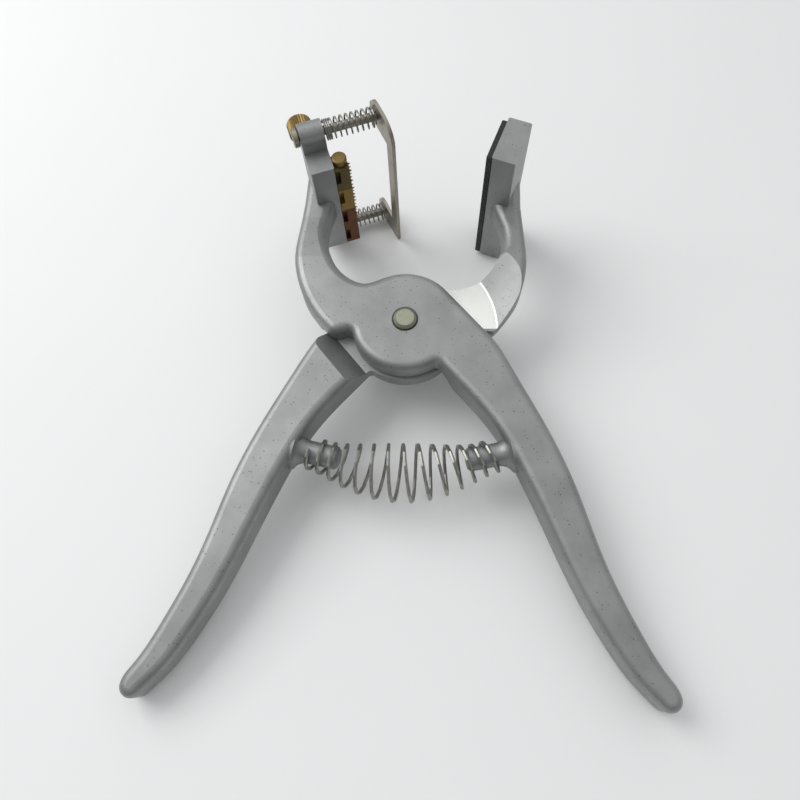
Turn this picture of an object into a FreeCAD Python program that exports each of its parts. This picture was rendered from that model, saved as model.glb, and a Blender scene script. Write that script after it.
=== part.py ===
import FreeCAD, Part

import math
import os

from FreeCAD import Placement, Rotation, Vector

# Livestock ear tattoo pliers, built open, as the return spring holds them.
# Frame: origin on the pivot axis at the lap face, +Z along the pivot axis,
# +Y from the pivot towards the jaws, +X towards the pad jaw. Millimetres.
# The number lever has its jaw at -X and its handle at +X, and laps over the
# pad lever, whose jaw is at +X and handle at -X.

# ---- driving sizes ----------------------------------------------------------
half_thickness = 7.5          # half the thickness of a lever's full section
handle_end_y = -126.0         # far end of the handle tips
handle_spread = 84.3          # outermost x of a handle tip, pliers open
tip_radius = 3.6
number_disc_radius = 19.3     # round lap of the number lever
pad_disc_radius = 20.3        # round lap of the pad lever
lap_gap = 0.2                 # running gap between the two lap faces
lap_sweep_radius = 33.0       # round recess that clears the other lever's jaw
ramp_foot = 22.0              # pivot axis to the foot of the handle's ramp
ramp_top = 30.2               # pivot axis to the top of the handle's ramp
ramp_bearing = 40.0           # direction of the ramp below the x axis, degrees
lap_flare = 1.73              # spread of the recess per mm of depth
stop_gap = 0.25               # nose to ramp when the pliers rest open
edge_round = 3.0              # rounding of the cast edges
cast_fillet = 1.8             # fillet where the lap disc runs into the handle and the nose

pin_radius = 4.1
pin_fit = 0.05                # radial running clearance in the number lever
pin_stand = 1.3               # how far the pin stands out of each disc
pin_chamfer = 0.9
bore_rim = 0.6                # countersink round the pin in the outer face

number_face_x = 26.0          # pivot axis to the number head's near inner corner
number_face_y = 51.4
number_face_angle = 18.7      # opening of the number head's face, degrees
number_head_half = 23.8       # half height of the number head along Z
pad_face_x = 29.6
pad_face_y = 50.7
pad_face_angle = 20.4
pad_head_half = 30.2
head_thickness = 8.7
head_depth = 18.7
head_round = 0.6

pad_thickness = 2.0
pad_far_margin = 1.5          # bare strip of head beyond the pad
pad_end_margin = 0.5
pad_round = 0.4

ear_radius = 4.4              # rounded ears at both ends of the number head
rod_depth = 13.4              # near side of the head to the guide rods
rod_half_span = 28.6          # pivot lap plane to each guide rod
rod_radius = 1.65
rod_fit = 0.05
rod_neck_radius = 1.3         # riveted neck through the plate
plate_stand = 21.5            # number head's face to the back of the plate
plate_thickness = 1.3
plate_lean = 8.0              # lean of the plate's tabs back towards the number head, degrees
plate_strip = 5.0
rod_end_gap = 0.4             # end of a rod's full section to the leaning plate
plate_tab_radius = 5.6
plate_top_corner = 8.0
plate_low_corner = 2.5
nut_radius = 3.4
nut_thickness = 2.2
nut_gap = 0.3
nut_chamfer = 0.35

ejector_coil_radius = 3.55
ejector_wire = 0.7
ejector_turns = 11.5
ejector_dead_turns = 3        # closed turns against the ear
spring_end_gap = 0.3
coil_steps = 12               # stations in each turn of a spring

block_length = 12.0
block_gap = 0.1
block_height = 5.4
block_depth = 6.6
block_side_gap = 0.1          # near side of the head to the near side of a block
block_top_z = 22.3
foot_neck = 2.4               # T-slot neck width
foot_neck_height = 3.0
foot_width = 4.0
foot_height = 2.4
foot_length = 8.0
slot_floor = 2.2              # metal above the slot's closed end
foot_inset = 0.8              # top of a block to the top of its foot
slot_fit = 0.1
notch_length = 6.6
notch_height = 1.8
notch_depth = 2.2
notch_drop = 1.2              # top of a block to the top of its notch
needle_radius = 0.4
needle_length = 1.1
needle_point = 0.7            # tapered end of a needle
needle_column_pitch = 1.6
needle_row_pitch = 1.9

stop_rod_radius = 1.1
stop_rod_fit = 0.08
stop_head_radius = 2.75
stop_head_height = 2.6

screw_axis_depth = 6.9        # head's face to the lock screw's axis
screw_axis_z = 20.6
screw_radius = 1.3
screw_fit = 0.08
screw_tip_gap = 0.15          # screw's end to the foot that it clamps
screw_collar_radius = 3.5
screw_collar_length = 2.4
screw_collar_gap = 0.1
screw_head_radius = 4.7
screw_head_length = 5.9
screw_teeth = 30
screw_tooth_depth = 0.35

post_radius = 4.0
post_tip_x = 21.5
post_tip_y = -49.4
post_tilt = 12.0              # droop of a spring post towards the middle
post_length = 17.0
post_root_radius = 7.0
post_flare_run = 4.6          # length of the flare at the post's root
post_sink = 2.0               # full root radius inside the handle
post_chamfer = 1.0

return_wire = 1.3
return_end_radius = 5.6       # coil centre radius on the posts
return_mid_radius = 9.8       # coil centre radius at the barrel's belly
return_turns = 13.5
return_start_angle = 1.6      # where on its post the first turn starts
return_end_crowding = 0.035   # closing up of the turns towards both ends
return_reach = 31.2           # pivot plane to the centre of an end turn
return_end_y = -47.3          # axis of the spring at its ends
return_sag = 6.7              # bow of the spring's axis


def vec(x, y, z=0.0):
    return Vector(x, y, z)


def spline_edge(points, start=None, end=None):
    """Smooth edge through a few points, with optional end directions."""
    curve = Part.BSplineCurve()
    if start is None:
        curve.interpolate(Points=points)
    else:
        curve.interpolate(Points=points, InitialTangent=start, FinalTangent=end)
    return curve.toShape()


def round_corner(before, corner, after, radius):
    """Arc of a radius between two straight runs that meet at a corner."""
    back = (before - corner).normalize()
    ahead = (after - corner).normalize()
    half = back.getAngle(ahead) / 2
    reach = radius / math.tan(half)
    middle = corner + (back + ahead).normalize() * (radius / math.sin(half) - radius)
    return Part.Arc(corner + back * reach, middle, corner + ahead * reach).toShape()


def radial(radius, degrees):
    """Vector of a length in the XY plane, at an angle to the X axis."""
    angle = math.radians(degrees)
    return vec(radius * math.cos(angle), radius * math.sin(angle))


def edge_end(edge):
    return edge.valueAt(edge.LastParameter)


def edge_start(edge):
    return edge.valueAt(edge.FirstParameter)


def head_frame(face_x, face_y, face_angle):
    """Frame at a head's near inner corner: x to the other jaw, y away from the pivot."""
    return Placement(Vector(-face_x, face_y, 0), Rotation(Vector(0, 0, 1), face_angle))


def box(x0, x1, y0, y1, z0, z1):
    return Part.makeBox(x1 - x0, y1 - y0, z1 - z0, Vector(x0, y0, z0))


def cylinder(radius, start, end):
    axis = end - start
    return Part.makeCylinder(radius, axis.Length, start, axis)


number_frame = head_frame(number_face_x, number_face_y, number_face_angle)
pad_frame = head_frame(pad_face_x, pad_face_y, pad_face_angle)


# ---- lever castings ---------------------------------------------------------
# Both levers are drawn with the jaw at -X and the handle at +X. The pad lever
# is then turned half a turn about Y, which also puts it under the lap plane.

def side_profile():
    """Thickness of a lever seen from the side, thinner at the jaw and the tips."""
    jaw_half = half_thickness - 1.6
    tip_half = half_thickness - 1.3
    lap_y = pad_disc_radius + 5
    jaw_y = number_face_y - 8
    far_y = number_face_y + head_depth + 20
    low_y = handle_end_y - 10
    bend_y = handle_end_y * 0.5
    upper = [
        vec(0, far_y, jaw_half), vec(0, jaw_y, jaw_half),
        vec(0, lap_y, half_thickness), vec(0, bend_y, half_thickness),
        vec(0, low_y, tip_half),
    ]
    lower = [vec(0, p.y, -p.z) for p in reversed(upper)]
    return Part.Face(Part.makePolygon(upper + lower + [upper[0]]))


def handle_outline(disc_radius):
    """Edges round the handle, from the disc's top to the corner under the disc."""
    shoulder = vec(29.6, -4.6)
    reach = math.acos(disc_radius / shoulder.Length)
    top_angle = math.atan2(shoulder.y, shoulder.x) + reach
    disc_top = vec(disc_radius * math.cos(top_angle), disc_radius * math.sin(top_angle))
    tip_x = handle_spread
    tip_y = handle_end_y
    tip_centre = vec(tip_x - tip_radius, tip_y + tip_radius)
    tip_start = 8.0
    tip_finish = -135.0
    outer = [
        shoulder, vec(38.6, -19.6), vec(46.6, -35.0), vec(56.2, -57.0),
        vec(tip_x - 18.9, tip_y + 41.0), vec(tip_x - 10.3, tip_y + 22.0),
        vec(tip_x - 3.2, tip_y + 9.9), tip_centre + radial(tip_radius, tip_start),
    ]
    inner = [
        tip_centre + radial(tip_radius, tip_finish), vec(tip_x - 14.1, tip_y + 9.5),
        vec(tip_x - 19.2, tip_y + 17.1), vec(tip_x - 28.0, tip_y + 33.0), vec(46.4, -70.0), vec(39.6, -54.5),
        vec(28.0, -34.5), vec(19.6, -24.6), vec(disc_radius * 0.6, -disc_radius * 0.8),
    ]
    shoulder_way = (shoulder - disc_top).normalize()
    outer_edge = spline_edge(outer, shoulder_way, radial(1, tip_start - 90))
    inner_edge = spline_edge(inner, radial(1, tip_finish - 90), vec(-0.66, 0.75))
    tip_middle = tip_centre + radial(tip_radius, (tip_start + tip_finish) / 2)
    tip_edge = Part.Arc(outer[-1], tip_middle, inner[0]).toShape()
    line = Part.LineSegment(disc_top, shoulder).toShape()
    return [line, outer_edge, tip_edge, inner_edge]


def lever_blank(frame, jaw_inner, jaw_outer, disc_radius):
    """Full-thickness lever before the lap is cut, with rounded edges."""
    handle = handle_outline(disc_radius)
    disc_top = edge_start(handle[0])
    disc_low = edge_end(handle[-1])

    crest_angle = math.radians(102)
    crest = vec(disc_radius * math.cos(crest_angle), disc_radius * math.sin(crest_angle))
    crest_way = vec(math.sin(crest_angle), -math.cos(crest_angle))
    inside = frame.multVec(vec(-1.2, 1.5))
    inner_points = [inside] + jaw_inner + [crest]
    inner_way = (jaw_inner[0] - inside).normalize()
    inner_edge = spline_edge(inner_points, inner_way, crest_way)

    high_angle = (crest_angle + math.atan2(disc_top.y, disc_top.x)) / 2
    high = vec(disc_radius * math.cos(high_angle), disc_radius * math.sin(high_angle))
    top_arc = Part.Arc(crest, high, disc_top).toShape()

    notch_angle = math.radians(190)
    notch = vec(disc_radius * math.cos(notch_angle), disc_radius * math.sin(notch_angle))
    low_arc = Part.Arc(disc_low, vec(0, -disc_radius), notch).toShape()

    nose = vec(-25.9, -5.4)
    nose_arc = round_corner(notch, nose, jaw_outer[0], edge_round + 0.5)
    stop_wall = Part.LineSegment(notch, edge_start(nose_arc)).toShape()
    nose_way = (jaw_outer[0] - nose).normalize()
    far = frame.multVec(vec(-head_thickness + 0.3, head_depth - 2.5))
    far_way = (far - jaw_outer[-1]).normalize()
    outer_edge = spline_edge([edge_end(nose_arc)] + jaw_outer + [far], nose_way, far_way)

    core = frame.multVec(vec(-head_thickness / 2, head_depth / 2))
    closing = [Part.LineSegment(far, core).toShape(), Part.LineSegment(core, inside).toShape()]
    edges = [inner_edge, top_arc] + handle + [low_arc, stop_wall, nose_arc, outer_edge] + closing
    face = Part.Face(Part.Wire(Part.__sortEdges__(edges)))
    if face.normalAt(0, 0).z < 0:
        face.reverse()
    reach = half_thickness * 2
    prism = face.translated(Vector(0, 0, -reach)).extrude(Vector(0, 0, 2 * reach))
    span = handle_spread + 30
    side = side_profile().translated(Vector(-span, 0, 0)).extrude(Vector(2 * span, 0, 0))
    blank = prism.common(side)
    corners = []
    for edge in blank.Edges:
        spot = vec(edge_start(edge).x, edge_start(edge).y)
        upright = edge.BoundBox.ZLength > half_thickness
        if upright and min(spot.distanceToPoint(disc_low), spot.distanceToPoint(notch)) < 0.01:
            corners.append(edge)
    return blank.makeFillet(cast_fillet, corners)


number_jaw_inner = [
    vec(-29.9, 43.0), vec(-30.6, 36.5), vec(-28.9, 29.0), vec(-24.6, 20.8), vec(-15.4, 15.3),
]
number_jaw_outer = [
    vec(-30.2, -0.9), vec(-35.1, 5.9), vec(-39.0, 14.4), vec(-41.6, 27.0), vec(-41.0, 37.5),
    vec(-39.7, 51.0),
]
pad_jaw_inner = [
    vec(-34.5, 42.5), vec(-35.8, 36.0), vec(-34.4, 27.3), vec(-28.4, 19.7), vec(-16.0, 15.8),
]
pad_jaw_outer = [
    vec(-30.8, -2.0), vec(-36.0, 3.8), vec(-40.9, 11.4), vec(-43.9, 23.0), vec(-43.8, 34.0),
    vec(-42.9, 48.5),
]


def straight_across(edge):
    """Whether an edge is one of the faint creases where the thickness starts to taper."""
    level = abs(edge_end(edge).y - edge_start(edge).y) < 0.01
    return level and edge.Curve.TypeId == "Part::GeomLine"


def rim_edges(solid, frame):
    """Upper and lower rim edges of a lever blank, apart from those inside its head."""
    rims = []
    for edge in solid.Edges:
        middle = edge.valueAt((edge.FirstParameter + edge.LastParameter) / 2)
        across = abs(edge_end(edge).z - edge_start(edge).z) < 2.5
        flat_top = abs(middle.z) > half_thickness - 2.5
        local = frame.inverse().multVec(middle)
        in_head = local.y > 1.0 and local.x > -head_thickness
        crosswise = straight_across(edge)
        if across and flat_top and not (in_head or crosswise):
            rims.append(edge)
    return rims


ramp_slope = (ramp_top - ramp_foot) / half_thickness
lap_depth = half_thickness + 3                # cutters reach past the casting's faces
far_side = handle_spread * 2


def bearing_prism(corners, bearing):
    """Long straight prism from a profile in XZ, turned to a bearing about the pivot."""
    outline = [vec(x, -far_side, z) for x, z in corners]
    prism = Part.Face(Part.makePolygon(outline + [outline[0]])).extrude(vec(0, 2 * far_side))
    prism.rotate(Vector(0, 0, 0), Vector(0, 0, 1), bearing)
    return prism


def lap_cutter():
    """Recess for the other lever: coned towards the jaw, ramped towards the handle."""
    top = lap_gap / 2
    wide = lap_sweep_radius + lap_flare * lap_depth
    cone = Part.makeCone(wide, lap_sweep_radius, lap_depth, vec(0, 0, top - lap_depth))
    ramp_side = bearing_prism([
        (-far_side, top), (ramp_foot, top),
        (ramp_foot + ramp_slope * lap_depth, top - lap_depth), (-far_side, top - lap_depth),
    ], -ramp_bearing)
    return cone.common(ramp_side)


def stop_relief():
    """Bevel under the lever's nose, where it meets the other handle's ramp."""
    foot = ramp_foot - stop_gap
    ramp = bearing_prism([
        (foot, 0), (foot + ramp_slope * lap_depth, lap_depth), (far_side, lap_depth), (far_side, 0),
    ], 180 + ramp_bearing)
    return ramp.common(box(-far_side, 0, -far_side, -1, 0, lap_depth))


def spring_post():
    """Cast post for the return spring, flared at its root in the handle."""
    flare = post_root_radius - post_radius
    straight = post_length - post_flare_run - post_sink
    root = post_length - post_sink
    bend = (post_flare_run ** 2 + flare ** 2) / (2 * flare)
    half_turn = math.asin(post_flare_run / bend) / 2
    bend_middle = vec(
        straight + bend * math.sin(half_turn), post_radius + bend * (1 - math.cos(half_turn))
    )
    outline = Part.makePolygon([
        vec(root, post_root_radius), vec(post_length, post_root_radius), vec(post_length, 0), vec(0, 0),
        vec(0, post_radius - post_chamfer), vec(post_chamfer, post_radius), vec(straight, post_radius),
    ])
    fillet = Part.Arc(vec(straight, post_radius), bend_middle, vec(root, post_root_radius)).toShape()
    profile = Part.Face(Part.Wire(outline.Edges + [fillet]))
    post = profile.revolve(Vector(0, 0, 0), Vector(1, 0, 0), 360)
    place = Placement(vec(post_tip_x, post_tip_y), Rotation(Vector(0, 0, 1), post_tilt))
    return placed(post, place)


def placed(shape, placement):
    return shape.transformed(placement.toMatrix())


def pivot_bore(radius):
    """Pivot hole with a countersunk rim in the outer face."""
    bore = cylinder(radius, vec(0, 0, -lap_depth), vec(0, 0, lap_depth))
    rim = Part.makeCone(radius, radius + bore_rim, bore_rim, vec(0, 0, half_thickness - bore_rim))
    return bore.fuse(rim)


def lever(frame, head, jaw_inner, jaw_outer, disc_radius, bore_radius):
    blank = lever_blank(frame, jaw_inner, jaw_outer, disc_radius)
    casting = blank.makeFillet(edge_round, rim_edges(blank, frame))
    casting = casting.cut(lap_cutter())
    casting = casting.cut(stop_relief())
    casting = casting.cut(pivot_bore(bore_radius))
    casting = casting.fuse(spring_post())
    return casting.fuse(head).removeSplitter()


# ---- number head ------------------------------------------------------------
# Heads are drawn in their own frames: X to the other jaw with the face at 0,
# Y away from the pivot, Z along the head.

row_middle = block_side_gap + block_depth / 2        # middle of the number row
slot_top_z = number_head_half - slot_floor           # closed upper end of the T-slot
nut_inner = -(head_thickness + nut_gap)
nut_outer = nut_inner - nut_thickness


def head_block(half):
    block = box(-head_thickness, 0, 0, head_depth, -half, half)
    upright = [edge for edge in block.Edges if edge.BoundBox.ZLength > half]
    return block.makeFillet(head_round, upright)


def rounded_ear(side):
    """Ear that carries a guide rod at one end of the head."""
    root = side * (number_head_half - 2)
    axis = side * rod_half_span
    near = rod_depth - ear_radius
    far = rod_depth + ear_radius
    straight = Part.makePolygon([vec(0, far, axis), vec(0, far, root), vec(0, near, root), vec(0, near, axis)])
    crown = Part.Arc(vec(0, near, axis), vec(0, rod_depth, axis + side * ear_radius), vec(0, far, axis))
    ear = Part.Face(Part.Wire(straight.Edges + [crown.toShape()]))
    return ear.extrude(vec(-head_thickness, 0))


def rod_axis(x0, x1, side, radius):
    """Cylinder on a guide rod's axis."""
    return cylinder(radius, vec(x0, rod_depth, side * rod_half_span), vec(x1, rod_depth, side * rod_half_span))


def t_profile(low, high, fit):
    """T-shaped bar along the head: the slot, or a foot that slides in it."""
    neck = foot_neck / 2 + fit
    wide = foot_width / 2 + fit
    neck_bar = box(-foot_neck_height - fit, 0, row_middle - neck, row_middle + neck, low, high)
    foot_top = -foot_neck_height + fit
    foot_bar = box(
        foot_top - foot_height - 2 * fit, foot_top, row_middle - wide, row_middle + wide, low, high
    )
    return neck_bar.fuse(foot_bar)


def screw_axis(y0, y1, radius):
    """Cylinder on the lock screw's axis."""
    return cylinder(radius, vec(-screw_axis_depth, y0, screw_axis_z), vec(-screw_axis_depth, y1, screw_axis_z))


screw_end = row_middle + foot_width / 2              # far side of the feet, which the screw clamps


def number_head():
    head = head_block(number_head_half).fuse([rounded_ear(1), rounded_ear(-1)])
    head = head.cut(rod_axis(-head_thickness - 1, 1, 1, rod_radius + rod_fit))
    head = head.cut(rod_axis(-head_thickness - 1, 1, -1, rod_radius + rod_fit))
    head = head.cut(screw_axis(screw_end, head_depth + 1, screw_radius + screw_fit))
    return head.removeSplitter()


# ---- ejector: plate, guide rods and nuts ------------------------------------

def plate_tab(side, corner):
    """Edges of one end of the ejector plate, from the strip's inner to its outer side."""
    inner = side * (rod_half_span - plate_tab_radius)
    outer = side * (rod_half_span + plate_tab_radius)
    step = side * corner
    bow = corner * (1 - math.sqrt(0.5))
    tip = vec(0, rod_depth + plate_tab_radius, side * rod_half_span)
    return [
        Part.LineSegment(vec(0, plate_strip, inner), vec(0, rod_depth, inner)).toShape(),
        Part.Arc(vec(0, rod_depth, inner), tip, vec(0, rod_depth, outer)).toShape(),
        Part.LineSegment(vec(0, rod_depth, outer), vec(0, corner, outer)).toShape(),
        Part.Arc(
            vec(0, corner, outer), vec(0, bow, outer - side * bow), vec(0, 0, outer - step)
        ).toShape(),
    ]


def ejector_plate():
    """C-shaped plate: a strip past the number row with a rounded tab at each end."""
    inner = rod_half_span - plate_tab_radius
    outer = rod_half_span + plate_tab_radius
    upper = plate_tab(1, plate_top_corner)
    lower = plate_tab(-1, plate_low_corner)
    sides = [
        Part.LineSegment(vec(0, plate_strip, inner), vec(0, plate_strip, -inner)).toShape(),
        Part.LineSegment(
            vec(0, 0, outer - plate_top_corner), vec(0, 0, -outer + plate_low_corner)
        ).toShape(),
    ]
    outline = Part.Wire(Part.__sortEdges__(upper + lower + sides))
    plate = Part.Face(outline).extrude(vec(plate_thickness, 0))
    plate.translate(vec(plate_stand, 0))
    plate.rotate(plate_hinge, vec(0, 0, 1), plate_lean)
    for side in (1, -1):
        plate = plate.cut(rod_axis(0, plate_stand + plate_thickness, side, rod_neck_radius))
    return plate


plate_hinge = vec(plate_stand, plate_strip / 2)
plate_at_rod = plate_stand - (rod_depth - plate_strip / 2) * math.tan(math.radians(plate_lean))
rod_shoulder = plate_at_rod - rod_end_gap
rod_rivet = plate_at_rod + plate_thickness + rod_end_gap


def guide_rod(side):
    """Rod with a shoulder behind the plate and a riveted neck through it."""
    rod = rod_axis(nut_outer, rod_shoulder, side, rod_radius)
    return rod.fuse(rod_axis(rod_shoulder, rod_rivet, side, rod_neck_radius)).removeSplitter()


def rod_nut(side):
    """Round nut that stops the rod against the back of its ear."""
    nut = rod_axis(nut_outer, nut_inner, side, nut_radius)
    nut = nut.cut(rod_axis(nut_outer, nut_inner, side, rod_radius))
    rims = [e for e in nut.Edges if e.BoundBox.XLength < 0.1 and e.BoundBox.YLength > 2 * rod_radius + 1]
    return nut.makeChamfer(nut_chamfer, rims)


# ---- springs ----------------------------------------------------------------

coil_axis = vec(1, 0)

def wire_coil(points, wire):
    """Wire of six flats lofted straight from station to station along a coil."""
    stations = []
    for index, point in enumerate(points):
        ahead = points[min(index + 1, len(points) - 1)]
        behind = points[max(index - 1, 0)]
        way = (ahead - behind).normalize()
        side = way.cross(coil_axis).normalize()
        across = way.cross(side)
        corners = []
        for corner in range(6):
            angle = math.pi / 3 * corner
            corners.append(point + side * (wire / 2 * math.cos(angle)) + across * (wire / 2 * math.sin(angle)))
        stations.append(Part.makePolygon(corners + [corners[0]]))
    return Part.makeLoft(stations, True, True)


def ejector_spring(side):
    """Compression spring on a guide rod, close-wound at both ends."""
    start = spring_end_gap + ejector_wire / 2
    lean = (ejector_coil_radius + ejector_wire) * math.tan(math.radians(plate_lean))
    end = plate_at_rod - lean - spring_end_gap
    close = ejector_wire * 1.1
    open_turns = ejector_turns - ejector_dead_turns - 1
    open_pitch = (end - start - close * (ejector_dead_turns + 1)) / open_turns
    points = []
    for step in range(int(ejector_turns * coil_steps) + 1):
        turn = step / coil_steps
        opened = min(max(turn - ejector_dead_turns, 0), open_turns)
        along = start + close * (turn - opened) + open_pitch * opened
        angle = 2 * math.pi * turn
        points.append(vec(
            along, rod_depth + ejector_coil_radius * math.cos(angle),
            side * rod_half_span + ejector_coil_radius * math.sin(angle),
        ))
    return wire_coil(points, ejector_wire)


def return_spring():
    """Barrel spring between the handles, bowed away from the pivot."""
    points = []
    steps = int(return_turns * coil_steps)
    for step in range(steps + 1):
        share = step / steps
        along = share - return_end_crowding * math.sin(2 * math.pi * share)
        x = return_reach * (2 * along - 1)
        drop = return_sag * (1 - (x / return_reach) ** 2)
        slope = 2 * return_sag * x / return_reach ** 2
        to_end = min(share, 1 - share)
        belly = min(max((to_end - 0.08) / 0.42, 0), 1)
        swell = math.sin(math.pi / 2 * belly) ** 1.5
        radius = return_end_radius + (return_mid_radius - return_end_radius) * swell
        across = vec(-slope, 1).normalize()
        angle = 2 * math.pi * return_turns * share + return_start_angle
        points.append(
            vec(x, return_end_y - drop) + across * (radius * math.cos(angle))
            + vec(0, 0, radius * math.sin(angle))
        )
    return wire_coil(points, return_wire)


# ---- number blocks, needles, stop rod and lock screw ------------------------

dot_patterns = {
    1: ("010", "110", "010", "010", "111"),
    2: ("111", "001", "111", "100", "111"),
    3: ("111", "001", "111", "001", "111"),
}
block_seat = 0.05
block_pitch = block_length + block_gap


def block_top(place):
    return block_top_z - (place - 1) * block_pitch


def needle_places(place):
    """Centres of a block's needles on its face, a dot figure mirrored as it prints."""
    middle = block_top(place) - block_length / 2
    places = []
    for row, dots in enumerate(dot_patterns[place]):
        for column, dot in enumerate(dots):
            if dot == "1":
                y = row_middle + (column - 1) * needle_column_pitch
                z = middle + (2 - row) * needle_row_pitch
                places.append((y, z))
    return places


def carrier(top, length):
    """Body of a block: plate with a stop rod hole, a finger notch and a T-foot."""
    front = block_seat + block_height
    body = box(block_seat, front, block_side_gap, block_side_gap + block_depth, top - length, top)
    foot_high = top - foot_inset
    foot_low = foot_high - foot_length
    neck = foot_neck / 2
    root = box(-1, block_seat + 1, row_middle - neck, row_middle + neck, foot_low, foot_high)
    body = body.fuse([t_profile(foot_low, foot_high, 0), root])
    notch_top = top - notch_drop
    notch = box(
        block_seat - 1, block_seat + notch_height, block_side_gap - 1, block_side_gap + notch_depth,
        notch_top - notch_length, notch_top,
    )
    notch = notch.common(box(block_seat, front, -5, head_depth, top - length, top))
    return body.cut(notch).removeSplitter()


def stop_rod_axis(low, high, radius):
    x = block_seat + block_height / 2
    return cylinder(radius, vec(x, row_middle, low), vec(x, row_middle, high))


def number_block(place):
    top = block_top(place)
    bore = stop_rod_axis(top - block_length - 1, top + 1, stop_rod_radius + stop_rod_fit)
    return carrier(top, block_length).cut(bore)


def end_block():
    """Plain block at the open end of the slot that takes the stop rod's end."""
    top = block_top(4)
    bore = stop_rod_axis(stop_rod_low, top + 1, stop_rod_radius + stop_rod_fit)
    return carrier(top, top + number_head_half - block_gap).cut(bore)


stop_rod_low = block_top(4) - 6


def needles(place):
    """Pointed needles of one number block, six-sided and seated on its face."""
    front = block_seat + block_height
    shank_end = front + needle_length - needle_point
    pins = []
    for y, z in needle_places(place):
        sections = []
        for x, radius in ((front, needle_radius), (shank_end, needle_radius), (front + needle_length, 0.08)):
            corners = [
                vec(x, y + radius * math.cos(turn * math.pi / 3), z + radius * math.sin(turn * math.pi / 3))
                for turn in range(6)
            ]
            sections.append(Part.makePolygon(corners + [corners[0]]))
        pins.append(Part.makeLoft(sections, True, True))
    return Part.makeCompound(pins)


def stop_rod():
    """Round-headed brass rod down through the row of blocks."""
    seat = block_top_z + block_seat
    shank = stop_rod_axis(stop_rod_low + 0.2, seat + 0.5, stop_rod_radius)
    head = stop_rod_axis(seat, seat + stop_head_height, stop_head_radius)
    rim = [edge for edge in head.Edges if edge.BoundBox.ZMin > seat + stop_head_height - 0.1]
    return shank.fuse(head.makeFillet(0.6, rim)).removeSplitter()


def lock_screw():
    """Thumbscrew across the slot's mouth, with a collar and a knurled head."""
    shank = screw_axis(screw_end + screw_tip_gap, head_depth + 0.5, screw_radius)
    collar_end = head_depth + screw_collar_gap + screw_collar_length
    collar = screw_axis(head_depth + screw_collar_gap, collar_end, screw_collar_radius)
    knurl = []
    for tooth in range(screw_teeth):
        for share, radius in ((0, screw_head_radius), (0.5, screw_head_radius - screw_tooth_depth)):
            angle = 2 * math.pi * (tooth + share) / screw_teeth
            knurl.append(vec(
                radius * math.cos(angle) - screw_axis_depth, collar_end,
                radius * math.sin(angle) + screw_axis_z,
            ))
    teeth = Part.Face(Part.makePolygon(knurl + [knurl[0]])).extrude(vec(0, screw_head_length))
    round_head = screw_axis(collar_end - 1, collar_end + screw_head_length, screw_head_radius)
    round_head = round_head.makeChamfer(0.5, round_head.Edges)
    return shank.fuse([collar, teeth.common(round_head)]).removeSplitter()


# ---- pad and pin ------------------------------------------------------------

def rubber_pad():
    reach = pad_head_half - pad_end_margin
    pad = box(0, pad_thickness, 0, head_depth - pad_far_margin, -reach, reach)
    front = [edge for edge in pad.Edges if edge.BoundBox.XMin > pad_thickness - 0.01]
    return pad.makeFillet(pad_round, front)


def pivot_pin():
    reach = half_thickness + pin_stand
    pin = cylinder(pin_radius, vec(0, 0, -reach), vec(0, 0, reach))
    rims = [edge for edge in pin.Edges if edge.BoundBox.ZLength < 0.1]
    return pin.makeChamfer(pin_chamfer, rims)


# ---- assembly ---------------------------------------------------------------

half_turn = Placement(Vector(0, 0, 0), Rotation(Vector(0, 1, 0), 180))
pad_place = half_turn.multiply(pad_frame)

number_lever = lever(
    number_frame, placed(number_head(), number_frame), number_jaw_inner, number_jaw_outer,
    number_disc_radius, pin_radius + pin_fit,
)
pad_lever = lever(
    pad_frame, placed(head_block(pad_head_half), pad_frame), pad_jaw_inner, pad_jaw_outer,
    pad_disc_radius, pin_radius,
)

t_slot = t_profile(-number_head_half - 1, slot_top_z, slot_fit)
nodes = {
    "number_lever": number_lever.cut(placed(t_slot, number_frame)),
    "pad_lever": placed(pad_lever, half_turn),
    "pivot_pin": pivot_pin(),
    "return_spring": return_spring(),
    "rubber_pad": placed(rubber_pad(), pad_place),
}
on_number_head = {
    "ejector_plate": ejector_plate(),
    "guide_rod_top": guide_rod(1),
    "guide_rod_bottom": guide_rod(-1),
    "rod_nut_top": rod_nut(1),
    "rod_nut_bottom": rod_nut(-1),
    "ejector_spring_top": ejector_spring(1),
    "ejector_spring_bottom": ejector_spring(-1),
    "number_block_1": number_block(1),
    "number_block_2": number_block(2),
    "number_block_3": number_block(3),
    "end_block": end_block(),
    "needles_1": needles(1),
    "needles_2": needles(2),
    "needles_3": needles(3),
    "stop_rod": stop_rod(),
    "lock_screw": lock_screw(),
}
for name, shape in on_number_head.items():
    nodes[name] = placed(shape, number_frame)

os.makedirs("parts", exist_ok=True)
for name, shape in nodes.items():
    shape.exportStep("parts/" + name + ".step")
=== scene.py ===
import math

import bmesh
import bpy
from mathutils import Matrix, Vector

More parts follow.
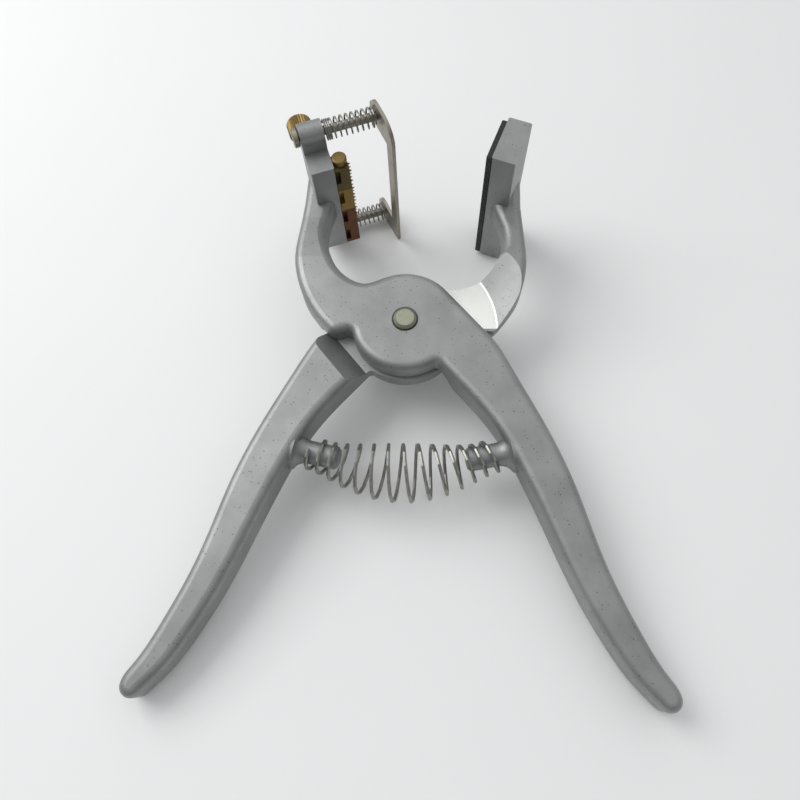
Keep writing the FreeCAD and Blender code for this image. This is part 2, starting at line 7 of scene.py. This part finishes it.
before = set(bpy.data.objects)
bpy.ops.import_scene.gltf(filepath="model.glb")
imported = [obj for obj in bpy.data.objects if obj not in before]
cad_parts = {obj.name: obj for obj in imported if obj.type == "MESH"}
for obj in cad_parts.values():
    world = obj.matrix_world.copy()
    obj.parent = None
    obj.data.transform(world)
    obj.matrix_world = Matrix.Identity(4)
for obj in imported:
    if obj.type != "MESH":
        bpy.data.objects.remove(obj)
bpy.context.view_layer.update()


# ---- levers -------------------------------------------------------------------
# Two sand-cast aluminium levers, shot-blasted to an even matt grey skin with fine pits, whose dark grey is
# painted shade in their hollows.
# The lap floor on the jaw side is machined, with faint rings from the facing tool, and its near-white
# colour is partly a painted reflection; the same floor on the handle side, which lay in shade, is left as
# grey cast skin.
def linear(hex_colour):
    """An sRGB hex colour as the linear values that Blender's sockets take."""
    channels = [int(hex_colour[start:start + 2], 16) / 255 for start in (1, 3, 5)]
    return [c / 12.92 if c <= 0.04045 else ((c + 0.055) / 1.055) ** 2.4 for c in channels] + [1.0]


def add(tree, kind, inputs=None, **settings):
    """A shader node with its settings, and its sockets set or linked."""
    node = tree.nodes.new(kind)
    for name, value in settings.items():
        setattr(node, name, value)
    for name, value in (inputs or {}).items():
        if isinstance(value, bpy.types.NodeSocket):
            tree.links.new(value, node.inputs[name])
        else:
            node.inputs[name].default_value = value
    return node


def start_material(name):
    """An empty material with no nodes, and its node tree."""
    material = bpy.data.materials.new(name)
    material.use_nodes = True
    material.node_tree.nodes.clear()
    return material, material.node_tree


def give(material, *names):
    """Puts a material on every slot of some CAD nodes."""
    for name in names:
        for material_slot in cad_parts[name].material_slots:
            material_slot.material = material


grit = 0.00045                   # grain of the blasted casting skin
cloud_width = 1 / 90             # 11 mm clouds of lighter and darker skin
pit_spacing = 0.0011
pit_patch = 1 / 700              # pits come in patches 1.4 mm wide
turning_pitch = 0.00035          # marks of the facing tool
lap_radius = 0.0335
lap_face_z = 0.0003              # the lap faces lie this near the pivot's mid plane
faced_roughness = 0.34
pit_to_grain = -0.8              # depth of a pit against the grain's height

cast, tree = start_material("blasted_cast_aluminium")
place = add(tree, "ShaderNodeTexCoord").outputs["Object"]
skin = add(tree, "ShaderNodeTexNoise", {"Vector": place, "Scale": 1 / grit, "Detail": 3.0})
cloud = add(tree, "ShaderNodeTexNoise", {"Vector": place, "Scale": 1 / cloud_width, "Detail": 3.0})
pit_cells = add(tree, "ShaderNodeTexVoronoi", {"Vector": place, "Scale": 1 / pit_spacing})
pit = add(tree, "ShaderNodeMapRange", {
    "Value": pit_cells.outputs["Distance"],
    "From Min": 0.10, "From Max": 0.24, "To Min": 1.0, "To Max": 0.0,
})
some = add(tree, "ShaderNodeTexNoise", {"Vector": place, "Scale": 1 / pit_patch, "Detail": 1.0})
sparse = add(tree, "ShaderNodeMapRange", {"Value": some.outputs["Fac"], "From Min": 0.52, "From Max": 0.62})
pitted = add(tree, "ShaderNodeMath", {0: pit.outputs[0], 1: sparse.outputs[0]}, operation="MULTIPLY")
parts = add(tree, "ShaderNodeSeparateXYZ", {"Vector": place})
height = add(tree, "ShaderNodeMath", {0: parts.outputs["Z"]}, operation="ABSOLUTE")
at_lap = add(tree, "ShaderNodeMath", {0: height.outputs[0], 1: lap_face_z}, operation="LESS_THAN")
flat = add(tree, "ShaderNodeCombineXYZ", {"X": parts.outputs["X"], "Y": parts.outputs["Y"]})
reach = add(tree, "ShaderNodeVectorMath", {0: flat.outputs[0]}, operation="LENGTH")
inside = add(tree, "ShaderNodeMath", {0: reach.outputs["Value"], 1: lap_radius}, operation="LESS_THAN")
bared = add(tree, "ShaderNodeMath", {0: at_lap.outputs[0], 1: inside.outputs[0]}, operation="MULTIPLY")
# Only the jaw side of the lap is painted bright, where it caught the light; the handle side lay in shade
# and keeps the cast tone.
lit_jaw_side = add(tree, "ShaderNodeMath", {0: parts.outputs["Y"], 1: 0.0}, operation="GREATER_THAN")
machined_lap_painted_bright = add(tree, "ShaderNodeMath", {0: bared.outputs[0], 1: lit_jaw_side.outputs[0]}, operation="MULTIPLY")
tone = add(tree, "ShaderNodeMix", {
    0: cloud.outputs["Fac"], 6: linear("#858786"), 7: linear("#ABADAC"),
}, data_type="RGBA")
# Pits are painted dark grey: painted shade inside the small recesses, on top of their bump.
pit_painted_shade = add(tree, "ShaderNodeMix", {
    0: pitted.outputs[0], 6: tone.outputs[2], 7: linear("#4A4A49"),
}, data_type="RGBA")
# Near-white on the machined lap: the smoother metal's own brightness plus a painted reflection.
final_tone = add(tree, "ShaderNodeMix", {
    0: machined_lap_painted_bright.outputs[0], 6: pit_painted_shade.outputs[2], 7: linear("#DCDDD9"),
}, data_type="RGBA")
dull = add(tree, "ShaderNodeMapRange", {"Value": skin.outputs["Fac"], "To Min": 0.40, "To Max": 0.58})
sheen = add(tree, "ShaderNodeMix", {
    0: machined_lap_painted_bright.outputs[0], 2: dull.outputs[0], 3: faced_roughness,
}, data_type="FLOAT")
depth = add(tree, "ShaderNodeMath", {
    0: pitted.outputs[0], 1: pit_to_grain, 2: skin.outputs["Fac"],
}, operation="MULTIPLY_ADD")
turned = add(tree, "ShaderNodeMath", {
    0: reach.outputs["Value"], 1: 2 * math.pi / turning_pitch,
}, operation="MULTIPLY")
marks = add(tree, "ShaderNodeMath", {0: turned.outputs[0]}, operation="SINE")
relief = add(tree, "ShaderNodeMix", {
    0: machined_lap_painted_bright.outputs[0], 2: depth.outputs[0], 3: marks.outputs[0],
}, data_type="FLOAT")
bump = add(tree, "ShaderNodeBump", {"Height": relief.outputs[0], "Strength": 0.35, "Distance": 0.00006})
shader = add(tree, "ShaderNodeBsdfPrincipled", {
    "Base Color": final_tone.outputs[2], "Roughness": sheen.outputs[0],
    "Metallic": 0.85, "Normal": bump.outputs[0],
})
add(tree, "ShaderNodeOutputMaterial", {"Surface": shader.outputs[0]})
give(cast, "pad_lever", "number_lever")


# ---- pivot pin ------------------------------------------------------------------
# Turned steel pin, pressed into the pad lever. Its dull zinc plating has a pale
# yellow-green cast with fine speckles.
plating_grain = 1 / 900          # 1.1 mm speckles
pin_steel, tree = start_material("plated_pin_steel")
place = add(tree, "ShaderNodeTexCoord").outputs["Object"]
speckle = add(tree, "ShaderNodeTexNoise", {"Vector": place, "Scale": 1 / plating_grain, "Detail": 4.0})
tone = add(tree, "ShaderNodeMix", {
    0: speckle.outputs["Fac"], 6: linear("#8F9280"), 7: linear("#ACAF9B"),
}, data_type="RGBA")
bump = add(tree, "ShaderNodeBump", {
    "Height": speckle.outputs["Fac"], "Strength": 0.15, "Distance": 0.00004,
})
shader = add(tree, "ShaderNodeBsdfPrincipled", {
    "Base Color": tone.outputs[2], "Roughness": 0.42, "Metallic": 0.9, "Normal": bump.outputs[0],
})
add(tree, "ShaderNodeOutputMaterial", {"Surface": shader.outputs[0]})
give(pin_steel, "pivot_pin")


# ---- rubber pad -----------------------------------------------------------------
# Black nitrile sheet glued to the pad head, moulded with a fine diagonal rib that grips the
# ear.
rib_pitch = 0.0011
bands_per_scale = 3.2            # bands that the wave pattern draws for a scale of one
dust_grain = 1 / 500             # 2 mm smears of chalky dust
rubber, tree = start_material("ribbed_nitrile_rubber")
place = add(tree, "ShaderNodeTexCoord").outputs["Object"]
ribs = add(tree, "ShaderNodeTexWave", {
    "Vector": place, "Scale": 1 / rib_pitch / bands_per_scale, "Distortion": 0.6, "Detail": 1.0,
}, wave_type="BANDS", bands_direction="DIAGONAL")
dust = add(tree, "ShaderNodeTexNoise", {"Vector": place, "Scale": 1 / dust_grain, "Detail": 5.0})
tone = add(tree, "ShaderNodeMix", {
    0: dust.outputs["Fac"], 6: linear("#131314"), 7: linear("#2B2B2C"),
}, data_type="RGBA")
bump = add(tree, "ShaderNodeBump", {"Height": ribs.outputs["Fac"], "Strength": 0.5, "Distance": 0.0002})
shader = add(tree, "ShaderNodeBsdfPrincipled", {
    "Base Color": tone.outputs[2], "Roughness": 0.62, "Normal": bump.outputs[0],
})
add(tree, "ShaderNodeOutputMaterial", {"Surface": shader.outputs[0]})
give(rubber, "rubber_pad")


# ---- number blocks, stop rod and lock screw ---------------------------------------
# Sawn brass blocks that have aged to different tones, from olive to red-brown, with ground
# needles set in their faces. The stop rod and the thumbscrew are turned from brass bar.
tarnish_width = 1 / 420          # 2.4 mm clouds of tarnish
file_length = 1 / 300            # file marks, 3.3 mm long and 0.2 mm apart
file_pitch = 1 / 5000
needle_grain = 1 / 2600          # 0.4 mm grinding marks


def aged_brass(name, light, dark, roughness):
    """Brass with cloudy tarnish and fine file marks."""
    material, tree = start_material(name)
    place = add(tree, "ShaderNodeTexCoord").outputs["Object"]
    tarnish = add(tree, "ShaderNodeTexNoise", {
        "Vector": place, "Scale": 1 / tarnish_width, "Detail": 5.0, "Roughness": 0.65,
    })
    stretch = add(tree, "ShaderNodeMapping", {
        "Vector": place, "Scale": (1 / file_length, 1 / file_length, 1 / file_pitch),
    })
    filed = add(tree, "ShaderNodeTexNoise", {"Vector": stretch.outputs[0], "Scale": 1.0, "Detail": 2.0})
    tone = add(tree, "ShaderNodeMix", {
        0: tarnish.outputs["Fac"], 6: linear(dark), 7: linear(light),
    }, data_type="RGBA")
    bump = add(tree, "ShaderNodeBump", {
        "Height": filed.outputs["Fac"], "Strength": 0.3, "Distance": 0.00005,
    })
    shader = add(tree, "ShaderNodeBsdfPrincipled", {
        "Base Color": tone.outputs[2], "Roughness": roughness,
        "Metallic": 0.8, "Normal": bump.outputs[0],
    })
    add(tree, "ShaderNodeOutputMaterial", {"Surface": shader.outputs[0]})
    return material


give(aged_brass("olive_brass", "#7A6B45", "#463C24", 0.46), "number_block_1")
give(aged_brass("yellow_brass", "#A88C4C", "#6E5729", 0.42), "number_block_2")
give(aged_brass("red_brass", "#84583A", "#47301F", 0.48), "number_block_3", "end_block")
give(aged_brass("turned_brass", "#9A8150", "#655230", 0.38), "stop_rod", "lock_screw")

needle_wire, tree = start_material("ground_needle_wire")
place = add(tree, "ShaderNodeTexCoord").outputs["Object"]
ground = add(tree, "ShaderNodeTexNoise", {"Vector": place, "Scale": 1 / needle_grain, "Detail": 2.0})
tone = add(tree, "ShaderNodeMix", {
    0: ground.outputs["Fac"], 6: linear("#6E5F3C"), 7: linear("#9C8853"),
}, data_type="RGBA")
shader = add(tree, "ShaderNodeBsdfPrincipled", {
    "Base Color": tone.outputs[2], "Roughness": 0.35, "Metallic": 1.0,
})
add(tree, "ShaderNodeOutputMaterial", {"Surface": shader.outputs[0]})
give(needle_wire, "needles_1", "needles_2", "needles_3")


# ---- ejector: plate, guide rods and nuts --------------------------------------------
# Pressed steel plate riveted to two turned rods, all dull nickel-plated, with the warm grey
# that such plating takes on.
bloom_width = 1 / 260            # 3.8 mm clouds in the plating
rolled_grain = 1 / 2400          # 0.4 mm grain of the rolled sheet
plated, tree = start_material("dull_nickel_plate")
place = add(tree, "ShaderNodeTexCoord").outputs["Object"]
bloom = add(tree, "ShaderNodeTexNoise", {"Vector": place, "Scale": 1 / bloom_width, "Detail": 4.0})
rolled = add(tree, "ShaderNodeTexNoise", {"Vector": place, "Scale": 1 / rolled_grain, "Detail": 2.0})
tone = add(tree, "ShaderNodeMix", {
    0: bloom.outputs["Fac"], 6: linear("#858173"), 7: linear("#B3AFA1"),
}, data_type="RGBA")
bump = add(tree, "ShaderNodeBump", {"Height": rolled.outputs["Fac"], "Strength": 0.2, "Distance": 0.00004})
shader = add(tree, "ShaderNodeBsdfPrincipled", {
    "Base Color": tone.outputs[2], "Roughness": 0.4, "Metallic": 0.95, "Normal": bump.outputs[0],
})
add(tree, "ShaderNodeOutputMaterial", {"Surface": shader.outputs[0]})
give(plated, "ejector_plate", "guide_rod_top", "guide_rod_bottom", "rod_nut_top", "rod_nut_bottom")


# ---- springs ------------------------------------------------------------------------
# Hard-drawn spring wire with a thin film of oil: neutral grey, fairly smooth.
# The barrel spring sits over the handles' posts, the two small ones over the guide rods.
drawn_grain = 1 / 700            # 1.4 mm shading along the wire
wire_steel, tree = start_material("oiled_spring_wire")
place = add(tree, "ShaderNodeTexCoord").outputs["Object"]
drawn = add(tree, "ShaderNodeTexNoise", {"Vector": place, "Scale": 1 / drawn_grain, "Detail": 3.0})
tone = add(tree, "ShaderNodeMix", {
    0: drawn.outputs["Fac"], 6: linear("#7C7B76"), 7: linear("#A9A8A2"),
}, data_type="RGBA")
shader = add(tree, "ShaderNodeBsdfPrincipled", {
    "Base Color": tone.outputs[2], "Roughness": 0.36, "Metallic": 0.95,
})
add(tree, "ShaderNodeOutputMaterial", {"Surface": shader.outputs[0]})
give(wire_steel, "return_spring", "ejector_spring_top", "ejector_spring_bottom")


# ---- table, light and camera ----------------------------------------------------------
# The pliers lie on the lower ends of their heads and on the tips of their handles, so the
# table slopes a little in their frame. It is pale paper under a soft box at the upper left,
# in a room that is brightest overhead and beyond the jaws.
tip_y, tip_z = -0.126, -0.0066
head_y, head_z = 0.0714, -0.0344
slope = (head_z - tip_z) / (head_y - tip_y)
table_size = 3.0
fibre_width = 1 / 12             # faint clouds, 80 mm wide
table_mesh = bpy.data.meshes.new("table")
shape = bmesh.new()
bmesh.ops.create_grid(shape, x_segments=1, y_segments=1, size=table_size)
tilt = Matrix.Rotation(math.atan(slope), 3, "X")
bmesh.ops.rotate(shape, verts=shape.verts, cent=(0, 0, 0), matrix=tilt)
bmesh.ops.translate(shape, verts=shape.verts, vec=(0, tip_y, tip_z))
shape.to_mesh(table_mesh)
shape.free()
table = bpy.data.objects.new("table", table_mesh)
bpy.context.scene.collection.objects.link(table)
paper, tree = start_material("pale_paper")
place = add(tree, "ShaderNodeTexCoord").outputs["Object"]
fibre = add(tree, "ShaderNodeTexNoise", {"Vector": place, "Scale": 1 / fibre_width, "Detail": 2.0})
tone = add(tree, "ShaderNodeMix", {
    0: fibre.outputs["Fac"], 6: linear("#F0F0F0"), 7: linear("#F3F3F3"),
}, data_type="RGBA")
shader = add(tree, "ShaderNodeBsdfPrincipled", {"Base Color": tone.outputs[2], "Roughness": 0.9})
add(tree, "ShaderNodeOutputMaterial", {"Surface": shader.outputs[0]})
table_mesh.materials.append(paper)

brightest_way = (0.0, 0.5, 0.86)
dim, bright = 0.12, 0.85
world = bpy.data.worlds.new("studio")
world.use_nodes = True
tree = world.node_tree
tree.nodes.clear()
heading = add(tree, "ShaderNodeTexCoord").outputs["Generated"]
facing = add(tree, "ShaderNodeVectorMath", {0: heading, 1: brightest_way}, operation="DOT_PRODUCT")
glow = add(tree, "ShaderNodeMapRange", {
    "Value": facing.outputs["Value"],
    "From Min": -0.2, "From Max": 0.9, "To Min": dim, "To Max": bright,
})
backdrop = add(tree, "ShaderNodeBackground", {
    "Color": linear("#FAFBFC"), "Strength": glow.outputs[0],
})
add(tree, "ShaderNodeOutputWorld", {"Surface": backdrop.outputs[0]})
bpy.context.scene.world = world


def soft_box(name, power, size, place, aim):
    """A square area lamp that points at a place."""
    lamp = bpy.data.lights.new(name, "AREA")
    lamp.energy = power
    lamp.size = size
    holder = bpy.data.objects.new(name, lamp)
    holder.location = place
    holder.rotation_euler = (Vector(aim) - Vector(place)).to_track_quat("-Z", "Y").to_euler()
    bpy.context.scene.collection.objects.link(holder)


soft_box("overhead_box", 3.6, 0.6, (-0.55, 0.30, 0.60), (0, 0, 0))

camera = bpy.data.cameras.new("camera")
camera.sensor_width = 36.0
camera.lens = 31.5
holder = bpy.data.objects.new("camera", camera)
holder.location = (0.00835, -0.11126, 0.23029)
holder.rotation_euler = [math.radians(angle) for angle in (19.945, 1.926, 1.347)]
camera.clip_start = 0.01
bpy.context.scene.collection.objects.link(holder)
bpy.context.scene.camera = holder
bpy.context.scene.view_settings.view_transform = "Standard"
